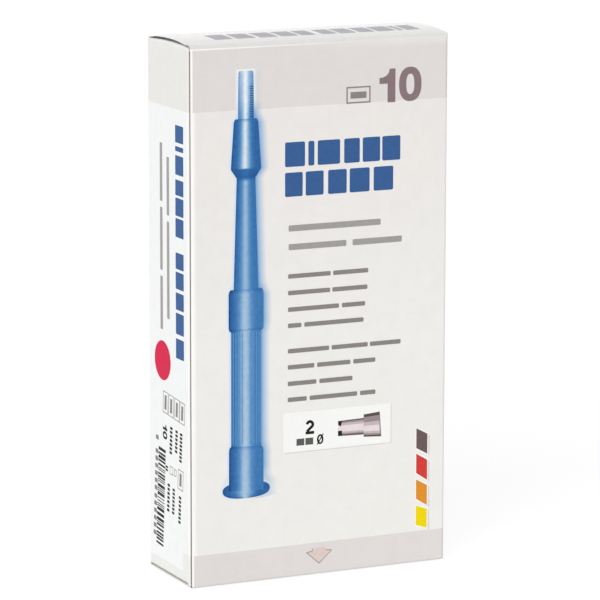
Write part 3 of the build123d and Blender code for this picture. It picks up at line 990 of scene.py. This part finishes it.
class CARTON_OT_pouches(bpy.types.Operator):
    """Make the sealed paper pouches in place of their plain solids"""

    bl_idname = "carton.pouches"
    bl_label = "Pouches"

    def execute(self, context):
        pouch = context.scene.carton_pouch
        material = paper_finish(pouch)
        if not POUCH_NODES:
            raise RuntimeError("the packed model has no pouches")
        for index, name in enumerate(POUCH_NODES):
            mesh = self.paper_mesh(name, pouch, random.Random(index))
            piece = put_piece(name + "_paper", mesh, material, "carton")
            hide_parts(name)
        return {"FINISHED"}

    def paper_mesh(self, name, pouch, draw):
        """One pouch: flat crimped seals, shoulders that fill out, and faint creases in the paper."""
        tilt, phase = draw.uniform(-POUCH_TILT, POUCH_TILT), draw.uniform(0, 2 * math.pi)
        low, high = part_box(name)
        middle, tall = (low + high) / 2, high.z - low.z
        wide, thick = (high.x - low.x) / 2 - pouch.slack, (high.y - low.y) / 2 - pouch.slack
        step = pouch.pitch / CRIMP_ROWS
        first = [i * step for i in range(round(pouch.seal / step) + 1)]
        first += [pouch.seal + pouch.shoulder * (i + 1) / SHOULDER_ROWS for i in range(SHOULDER_ROWS)]
        full = [first[-1] + (tall - 2 * first[-1]) * i / FULL_ROWS for i in range(1, FULL_ROWS)]
        shape = bmesh.new()
        rings = []
        for height in first + full + [tall - h for h in reversed(first)]:
            inwards = min(height, tall - height)
            fill = min(max((inwards - pouch.seal) / pouch.shoulder, 0), 1)
            fill = fill * fill * (3 - 2 * fill)
            crimped = inwards < pouch.seal - step
            crimp = pouch.ridge * math.cos(2 * math.pi * height / pouch.pitch) if crimped else 0
            half_width = wide * (1 - POUCH_NARROWING * fill)
            half_thick = pouch.seal_half + crimp + (thick - pouch.seal_half) * fill
            power = POUCH_FLAT_POWER + (POUCH_FULL_POWER - POUCH_FLAT_POWER) * min(fill * 2, 1)
            verts = []
            for i in range(pouch.around):
                turn = 2 * math.pi * (i + 0.5) / pouch.around
                wave = 1 + math.sin(POUCH_WAVES * turn + phase + tilt * height / MM)
                crease = 1 - POUCH_CREASE * fill * (1 - POUCH_TAUT * fill) * wave
                u, v = oval(turn, half_width, half_thick * crease, power)
                verts.append(shape.verts.new((middle.x + u, middle.y + v, low.z + height)))
            rings.append(verts)
        for below, above in zip(rings, rings[1:]):
            for i in range(pouch.around):
                j = (i + 1) % pouch.around
                shape.faces.new((below[i], below[j], above[j], above[i])).smooth = True
        shape.faces.new(rings[0][::-1])
        shape.faces.new(rings[-1])
        for edge in shape.edges:
            edge.smooth = edge.calc_face_angle(math.pi) < SMOOTH_PAPER
        return finished_mesh(shape, name + "_paper")


class CARTON_OT_front_print(bpy.types.Operator):
    """Print the front: titles, text, number of contents, chips and arrow"""

    bl_idname = "carton.front_print"
    bl_label = "Front print"

    def execute(self, context):
        ink = context.scene.carton_ink
        # Blue spot ink, offset printed: saturated and even under the satin varnish.
        blue = printed_ink("offset_ink_blue", ink.title)
        # Warm grey process ink in two tints: soft bars in place of text.
        grey, pale = printed_ink("offset_ink_grey", ink.text), printed_ink("offset_ink_pale_grey", ink.fine)
        print_bars("print_title", "front", rows_of(TITLE_ROWS), blue, ink.corner * TITLE_ROUNDING)
        print_bars("print_subtitle", "front", rows_of(SUBTITLE_ROWS), pale, ink.corner)
        print_bars("print_text", "front", rows_of(TEXT_ROWS), grey, ink.corner)
        # Brown grey spot ink: a large warm figure on the grey band.
        brown = printed_ink("offset_ink_brown_grey", ink.numeral)
        print_shapes("print_contents_number", "front", ten(*CONTENTS_PLACE, 1.0), brown)
        word = [framed(*CONTENTS_FRAME, CONTENTS_LINE), [rectangle(*CONTENTS_WORD)]]
        print_shapes("print_contents_frame", "front", word, grey)
        self.chips(ink)
        # Beige process tint with a fine grey outline, which the arrow's top and upper right side go without.
        beige = printed_ink("offset_ink_beige", ink.arrow)
        print_shapes("print_arrow", "front", [[ARROW]], beige)
        edges = [[stroke([a, b], ARROW_LINE)] for a, b in zip(ARROW, ARROW[1:] + ARROW[:1])]
        print_shapes("print_arrow_outline", "front", edges[2:], grey, ink.film * ARROW_LINE_LIFT)
        return {"FINISHED"}

    def chips(self, ink):
        """The colour chips, each on a white ground with a soft shade beside it."""
        grounds, shades = [], []
        for name, heights in CHIPS.items():
            chip = list(zip(CHIP_SIDES, heights))[::-1]
            # Process inks: four even patches of strong colour.
            material = printed_ink("offset_ink_chip_" + name, getattr(ink, "chip_" + name))
            print_shapes("print_chip_" + name, "front", [[chip]], material)
            shades.append([[(u + CHIP_SHADE_SHIFT[0], v + CHIP_SHADE_SHIFT[1]) for u, v in chip]])
            corners = zip(chip, rectangle(-1, 1, -1, 1))
            grounds.append([[(u + CHIP_RIM[0] * a, v + CHIP_RIM[1] * b) for (u, v), (a, b) in corners]])
        # Opaque white under the chips, and a pale grey tint for their shade.
        white = printed_ink("offset_ink_white", ink.label)
        print_shapes("print_chip_grounds", "front", grounds, white, ink.film * CHIP_GROUND_LIFT)
        shade = printed_ink("offset_ink_chip_shade", ink.chip_shade)
        print_shapes("print_chip_shades", "front", shades, shade, ink.film * CHIP_SHADE_LIFT)


class CARTON_OT_picture(bpy.types.Operator):
    """Print the picture of the instrument on the front"""

    bl_idname = "carton.picture"
    bl_label = "Picture"

    def execute(self, context):
        ink = context.scene.carton_ink
        lift = ink.film * PICTURE_LIFT
        shape = bmesh.new()
        tone = shape.verts.layers.float.new("tone")
        for table, raised in ((PICTURE_UNDER, 0.0), (PICTURE_OVER, lift), ({"flange": self.flange()}, 0.0)):
            for name, rows in table.items():
                self.patch(shape, tone, rows, ink.film, raised, *SHADING[name])
        bmesh.ops.recalc_face_normals(shape, faces=shape.faces)
        mesh = finished_mesh(shape, "print_instrument")
        put_on_panel("print_instrument", "front", mesh, picture_finish(), ink.film)
        # Blue process tints: the ribs along the pictured barrel and the ridges of its cutter.
        rib = printed_ink("offset_ink_rib_blue", ink.rib)
        ridge = printed_ink("offset_ink_ridge_blue", ink.ridge)
        ribs = []
        for i in range(-RIBS_EACH_SIDE, RIBS_EACH_SIDE + 1):
            if i == 0:
                continue
            u = PICTURE_AXIS + RIB_RADIUS * math.sin(math.radians(RIB_ANGLE * i))
            ribs.append((u - RIB_HALF_WIDTH, u + RIB_HALF_WIDTH, *RIB_ENDS))
        print_bars("print_instrument_ribs", "front", ribs, rib, lift=lift)
        ridges = []
        left, right = (PICTURE_AXIS + side for side in RIDGE_SIDES)
        for i in range(RIDGE_COUNT):
            low = RIDGE_START + RIDGE_PITCH * i
            ridges.append((left, right, low, low + RIDGE_HEIGHT))
        print_bars("print_instrument_ridges", "front", ridges, ridge, lift=lift)
        return {"FINISHED"}

    def flange(self):
        """Rows of the rounded flange at the foot."""
        centre, half = (FLANGE_TOP + FLANGE_LOW) / 2, (FLANGE_TOP - FLANGE_LOW) / 2
        rows = []
        for i in range(FLANGE_ROWS + 1):
            rise = math.cos(math.pi * (FLANGE_END + (1 - 2 * FLANGE_END) * i / FLANGE_ROWS))
            width = FLANGE_HALF_WIDTH * (1 - abs(rise) ** FLANGE_POWER) ** (1 / FLANGE_POWER)
            rows.append((centre + half * rise, width, *FLANGE_TONES))
        return rows

    def patch(self, shape, tone, rows, film, lift, lean, spread, droop):
        """A closed patch of film through rows of height, half width, and tone of flanks and highlight."""
        levels = []
        for z in (film / 2 + lift, -film / 2):
            grid = []
            for height, half, flank, highlight in rows:
                line = []
                for i in range(PATCH_COLUMNS + 1):
                    u = 2 * i / PATCH_COLUMNS - 1
                    vert = shape.verts.new(((PICTURE_AXIS + half * u) * MM, (height - droop * u) * MM, z))
                    plain = flank * (1 - EDGE_DARK * min(u, 0) ** EDGE_POWER) - lean * u
                    shine = math.exp(-((u + HIGHLIGHT_SHIFT) / spread) ** 2)
                    vert[tone] = plain + (highlight - plain) * shine
                    line.append(vert)
                grid.append(line)
            levels.append(grid)
        top, low = levels
        last = len(rows) - 1
        for r in range(last):
            for i in range(PATCH_COLUMNS):
                shape.faces.new((top[r][i], top[r + 1][i], top[r + 1][i + 1], top[r][i + 1]))
                shape.faces.new((low[r][i], low[r][i + 1], low[r + 1][i + 1], low[r + 1][i]))
            for i in (0, PATCH_COLUMNS):
                shape.faces.new((top[r][i], low[r][i], low[r + 1][i], top[r + 1][i]))
        for r in (0, last):
            for i in range(PATCH_COLUMNS):
                shape.faces.new((top[r][i], top[r][i + 1], low[r][i + 1], low[r][i]))


class CARTON_OT_size_label(bpy.types.Operator):
    """Stick the white size label on the front and print it"""

    bl_idname = "carton.size_label"
    bl_label = "Size label"

    def execute(self, context):
        ink = context.scene.carton_ink
        # Gloss label paper: a brighter white than the board, with an edge that just shows.
        paper = printed_ink("gloss_label_paper", ink.label, mottling=0.008)
        thick = ink.label_thickness
        mesh = bar_mesh("size_label", [LABEL], thick, paper, ink.corner)
        put_on_panel("size_label", "front", mesh, paper, thick)
        # Painted shadow of the stuck-on label on the board, along its right and lower edges.
        shade = printed_ink("offset_ink_chip_shade", ink.chip_shade)
        below = ink.film * LABEL_SHADE_LIFT
        print_shapes("print_label_shade", "front", [[rectangle(*LABEL_SHADE)]], shade, below)
        lift = thick * LABEL_TOP - ink.film * PROUD
        # Black process ink, and a dark tint of it for the unit.
        black = printed_ink("offset_ink_black", ink.black)
        sign = [
            [ring(SIGN_CENTRE, *SIGN_RING), ring(SIGN_CENTRE, *SIGN_HOLE)[::-1]],
            [stroke(SIGN_SLASH, SIGN_PEN)],
        ]
        print_shapes("print_size", "front", numeral_two(*SIZE_NUMERAL) + sign, black, lift)
        dark = printed_ink("offset_ink_dark_grey", ink.unit)
        print_shapes("print_size_unit", "front", [[rectangle(*block)] for block in SIZE_UNIT], dark, lift)
        # Grey process tints: a short steel tube in its holder, lit along the middle.
        for i, (name, (code, shares)) in enumerate(TIP_TONES.items()):
            shapes = [[tip_band(TIP_CORNERS[part], *share)] for part, share in shares.items()]
            material = printed_ink("offset_ink_steel_" + name, linear(code))
            print_shapes("print_tip_" + name, "front", shapes, material, lift + TIP_LIFT * i * ink.film)
        print_shapes("print_tip_rims", "front", TIP_RIMS, black, lift + TIP_RIM_LIFT * ink.film)
        return {"FINISHED"}


class CARTON_OT_side_print(bpy.types.Operator):
    """Print the sides: titles, lines, dot, data boxes and barcode"""

    bl_idname = "carton.side_print"
    bl_label = "Side print"

    def execute(self, context):
        ink = context.scene.carton_ink
        blue, pale = printed_ink("offset_ink_blue", ink.title), printed_ink("offset_ink_pale_grey", ink.fine)
        for side in ("left", "right"):
            print_bars(f"print_{side}_title", side, columns_of(SIDE_TITLE), blue, ink.corner)
            print_bars(f"print_{side}_lines", side, columns_of(SIDE_LINES), pale, ink.corner)
        # Crimson spot ink: one solid dot.
        crimson = printed_ink("offset_ink_crimson", ink.dot)
        dot = ring(DOT_CENTRE, DOT_RADIUS, DOT_RADIUS, count=DOT_POINTS)
        print_shapes("print_dot", "left", [[dot]], crimson)
        self.data(ink)
        return {"FINISHED"}

    def data(self, ink):
        """The boxes, signs, number and barcode of the data, all askew together."""
        grey, black = printed_ink("offset_ink_grey", ink.text), printed_ink("offset_ink_black", ink.black)
        pivot = Matrix.Translation(DATA_PIVOT * MM)
        skew = pivot @ Matrix.Rotation(DATA_SKEW, 4, "Z") @ pivot.inverted()
        boxes = []
        for left, right, low, high in DATA_BOXES:
            boxes.append(framed(left, right, low, high, DATA_LINE))
            if right - left > DATA_WIDE_BOX:
                middle = (left + right) / 2
                sides = (middle - DATA_WORD_HALF, middle + DATA_WORD_HALF)
                boxes.append([rectangle(*sides, low + DATA_WORD_MARGIN, high - DATA_WORD_MARGIN)])
        print_shapes("print_data_boxes", "left", boxes, grey, skew=skew)
        blocks = sign_blocks(DATA_BARS)
        print_bars("print_data", "left", blocks, black, ink.corner * SIGN_ROUNDING, skew=skew)
        starts = [top - i * CODE_SIGN_PITCH for top, count in CODE_SIGN_RUNS.items() for i in range(count)]
        signs = [(*CODE_SIGN_SIDES, low, low + CODE_SIGN_HEIGHT) for low in starts]
        print_bars("print_barcode_signs", "left", signs, grey, ink.corner, skew=skew)
        turned = Matrix.Translation(DATA_NUMBER_PLACE * MM) @ Matrix.Rotation(-math.pi / 2, 4, "Z")
        number = ten(0.0, 0.0, DATA_NUMBER_SCALE)
        print_shapes("print_data_number", "left", number, black, skew=skew @ turned)
        draw = random.Random(BARCODE_DRAW)
        left, right, low, top = BARCODE
        bars = []
        while top > low:
            thick = BARCODE_UNIT * draw.choice(BARCODE_BARS)
            bars.append((left, right, top - thick, top))
            top -= thick + BARCODE_UNIT * draw.choice(BARCODE_GAPS)
        print_bars("print_barcode", "left", bars, black, skew=skew)


class CARTON_OT_lid_print(bpy.types.Operator):
    """Print the title on the bowed top lid"""

    bl_idname = "carton.lid_print"
    bl_label = "Lid print"

    def execute(self, context):
        ink = context.scene.carton_ink
        # Pale lavender process tint: a title that hardly stands out from the board.
        lavender = printed_ink("offset_ink_lavender", ink.lid)
        blocks = rows_of(LID_TITLE_ROWS)
        mesh = bar_mesh("print_lid_title", blocks, ink.film, lavender, ink.corner)
        shape = bmesh.new()
        shape.from_mesh(mesh)
        for i in range(LID_TITLE_CUTS):
            cut = (0, (blocks[0][2] + i * LID_TITLE_STEP) * MM, 0)
            bmesh.ops.bisect_plane(
                shape, geom=everything(shape), plane_co=cut, plane_no=(0, 1, 0), dist=MERGE
            )
        node = frame["nodes"]["top_lid"].data
        lid = BVHTree.FromPolygons([v.co for v in node.vertices], [p.vertices for p in node.polygons])
        for vert in shape.verts:
            hit = lid.ray_cast(Vector((vert.co.x, vert.co.y, RAY_START)), Vector((0, 0, -1)))[0]
            if hit is None:
                raise RuntimeError("the lid's title is off the lid")
            vert.co.z += hit.z + ink.film * PROUD
        shape.to_mesh(mesh)
        shape.free()
        put_piece("print_lid_title", mesh, lavender, "top_lid")
        return {"FINISHED"}


class CARTON_OT_back_print(bpy.types.Operator):
    """Print plain text bars on the back"""

    bl_idname = "carton.back_print"
    bl_label = "Back print"

    def execute(self, context):
        ink = context.scene.carton_ink
        blue, grey = printed_ink("offset_ink_blue", ink.title), printed_ink("offset_ink_grey", ink.text)
        title, text = rows_of(TITLE_ROWS, BACK_SHIFT), rows_of(TEXT_ROWS, BACK_SHIFT)
        print_bars("print_back_title", "back", title, blue, ink.corner * TITLE_ROUNDING)
        print_bars("print_back_text", "back", text, grey, ink.corner)
        return {"FINISHED"}


class CARTON_OT_stage(bpy.types.Operator):
    """Set up the floor, the soft lights and the camera"""

    bl_idname = "carton.stage"
    bl_label = "Studio"

    def execute(self, context):
        scene, stage = context.scene, context.scene.carton_stage
        scene.view_settings.view_transform = "Standard"
        mesh = bpy.data.meshes.new("floor")
        outline = rectangle(-FLOOR_HALF, FLOOR_HALF, -FLOOR_HALF, FLOOR_HALF)
        corners = [(x, y, FLOOR_LEVEL) for x, y in outline]
        mesh.from_pydata(corners, [], [(0, 1, 2, 3)])
        floor = bpy.data.objects.new("floor", mesh)
        scene.collection.objects.link(floor)
        mesh.materials.append(self.floor_finish(stage))
        self.sky(scene, stage)
        for name, energy, aim in (("key", stage.key, KEY_AIM), ("fill", stage.fill, FILL_AIM)):
            lamp = bpy.data.lights.new(name, "SUN")
            lamp.energy = energy
            lamp.angle = stage.softness
            light = bpy.data.objects.new(name, lamp)
            light.rotation_mode = "QUATERNION"
            light.rotation_quaternion = Vector(aim).to_track_quat("-Z", "Y")
            light.visible_glossy = False
            scene.collection.objects.link(light)
        self.camera(scene, stage)
        return {"FINISHED"}

    def looked_at(self, tree):
        """A mask that is 1 for what the camera sees, directly or in a reflection or through glass."""
        rays = add(tree, "LightPath").outputs
        mask = add(tree, "Math", (rays["Is Camera Ray"], rays["Is Glossy Ray"]), operation="MAXIMUM")
        return add(tree, "Math", (mask, rays["Is Transmission Ray"]), operation="MAXIMUM")

    def floor_finish(self, stage):
        """Matt painted floor: a pale one to the light, and a white one with the shadow kept to the camera."""
        material, tree, shader = new_finish("pale_floor")
        tree.nodes.remove(shader)
        matt = add(tree, "BsdfDiffuse", (stage.floor,))
        shadow = add(tree, "BsdfDiffuse", (FLOOR_SHADOW,))
        glow = add(tree, "Emission", (WHITE, FLOOR_GLOW))
        white = add(tree, "AddShader", (shadow, glow))
        mixed = add(tree, "MixShader", (self.looked_at(tree), matt, white))
        plug(tree, tree.nodes["Material Output"], {"Surface": mixed})
        return material

    def sky(self, scene, stage):
        """Even light from all round, which the camera and reflections see as white."""
        scene.world = bpy.data.worlds.new("studio")
        scene.world.use_nodes = True
        tree = scene.world.node_tree
        level = add(tree, "MapRange", (self.looked_at(tree), 0.0, 1.0, stage.ambient, 1.0))
        plug(tree, tree.nodes["Background"], {"Color": WHITE, "Strength": level})

    def camera(self, scene, stage):
        """The camera, turned about the carton's middle."""
        data = bpy.data.cameras.new("camera")
        data.sensor_width = SENSOR_WIDTH
        data.lens = stage.lens
        data.clip_start, data.clip_end = CLIP
        camera = bpy.data.objects.new("camera", data)
        scene.collection.objects.link(camera)
        scene.camera = camera
        back = Vector((
            math.sin(stage.yaw) * math.cos(stage.pitch),
            -math.cos(stage.yaw) * math.cos(stage.pitch),
            math.sin(stage.pitch),
        ))
        right = (-back).cross(Vector((0, 0, 1))).normalized()
        up = right.cross(-back)
        middle = Vector((0, 0, PANEL_HEIGHT / 2 * MM))
        aim = middle + right * stage.aim_right + up * stage.aim_up
        turn = Matrix.Rotation(stage.roll, 3, back)
        matrix = Matrix((turn @ right, turn @ up, back)).transposed().to_4x4()
        matrix.translation = aim + back * stage.distance
        camera.matrix_world = matrix


class CARTON_PT_sidebar(bpy.types.Panel):
    """Sizes, colours and steps of the carton"""

    bl_label = "Carton"
    bl_space_type = "VIEW_3D"
    bl_region_type = "UI"
    bl_category = "Carton"

    def draw(self, context):
        for group in GROUPS:
            settings = getattr(context.scene, group)
            for name in settings.__annotations__:
                self.layout.prop(settings, name)
        for operator in OPERATORS:
            self.layout.operator(operator.bl_idname)


GROUPS = {
    "carton_board": CartonBoard,
    "carton_ink": CartonInk,
    "carton_pouch": CartonPouch,
    "carton_stage": CartonStage,
}
OPERATORS = (
    CARTON_OT_board,
    CARTON_OT_lids,
    CARTON_OT_pouches,
    CARTON_OT_front_print,
    CARTON_OT_picture,
    CARTON_OT_size_label,
    CARTON_OT_side_print,
    CARTON_OT_lid_print,
    CARTON_OT_back_print,
    CARTON_OT_stage,
)


def register():
    """Register the settings, the operators and the panel."""
    for name, group in GROUPS.items():
        bpy.utils.register_class(group)
        setattr(bpy.types.Scene, name, PointerProperty(type=group))
    for kind in (*OPERATORS, CARTON_PT_sidebar):
        bpy.utils.register_class(kind)


def unregister():
    """Take everything back out again."""
    for kind in (CARTON_PT_sidebar, *reversed(OPERATORS)):
        bpy.utils.unregister_class(kind)
    for name, group in GROUPS.items():
        delattr(bpy.types.Scene, name)
        bpy.utils.unregister_class(group)


def main():
    """Dress the carton."""
    register()
    for operator in OPERATORS:
        category, name = operator.bl_idname.split(".")
        getattr(getattr(bpy.ops, category), name)()


if __name__ == "__main__":
    main()
